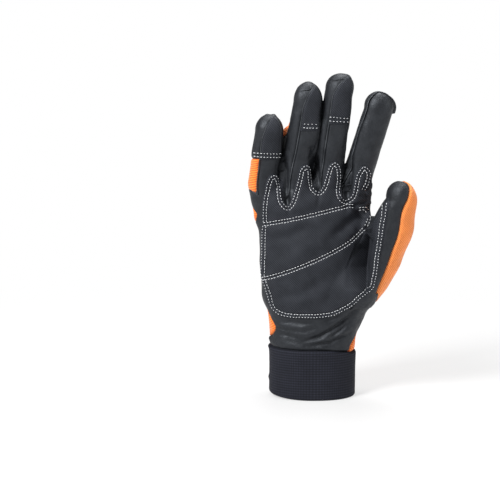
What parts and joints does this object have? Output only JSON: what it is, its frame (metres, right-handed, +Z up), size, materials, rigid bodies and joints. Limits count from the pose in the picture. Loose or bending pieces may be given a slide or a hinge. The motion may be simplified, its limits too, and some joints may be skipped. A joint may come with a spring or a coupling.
{
  "type": "chainsaw glove",
  "caption": "Right-hand work glove, stuffed as worn: black leather palm with stitched reinforcement patches, orange ribbed back and an elastic wrist band.",
  "frame": {"origin": "centre of the mouth of the wrist band, where the hand goes in", "axes": "+Z up along the fingers, -Y the palm's side, +X towards the thumb"},
  "size_m": [0.1247, 0.0629, 0.2513],
  "materials": {
    "black_leather": "fine grain, soft satin",
    "patch_fabric": "matt textured twill reinforcement",
    "orange_fabric": "matt fine rib stretch fabric",
    "white_thread": "twisted sewing thread, off-white",
    "elastic_band": "matt fine woven elastic"
  },
  "bodies": {
    "root": {"cuff": "elastic_band", "palm_leather": "black_leather", "thumb_leather": "black_leather", "back_fabric": "orange_fabric", "thumb_fabric": "orange_fabric", "fourchette_pinky_ring": "black_leather", "fourchette_ring_middle": "black_leather", "fourchette_middle_index": "black_leather", "crown_patch": "patch_fabric", "palm_patch": "patch_fabric", "heel_patch": "patch_fabric", "tip_cap_pinky": "black_leather", "tip_cap_ring": "black_leather", "tip_cap_middle": "black_leather", "tip_cap_index": "black_leather", "tip_patch_pinky": "patch_fabric", "tip_patch_ring": "patch_fabric", "tip_patch_middle": "patch_fabric"}
  },
  "joints": []
}
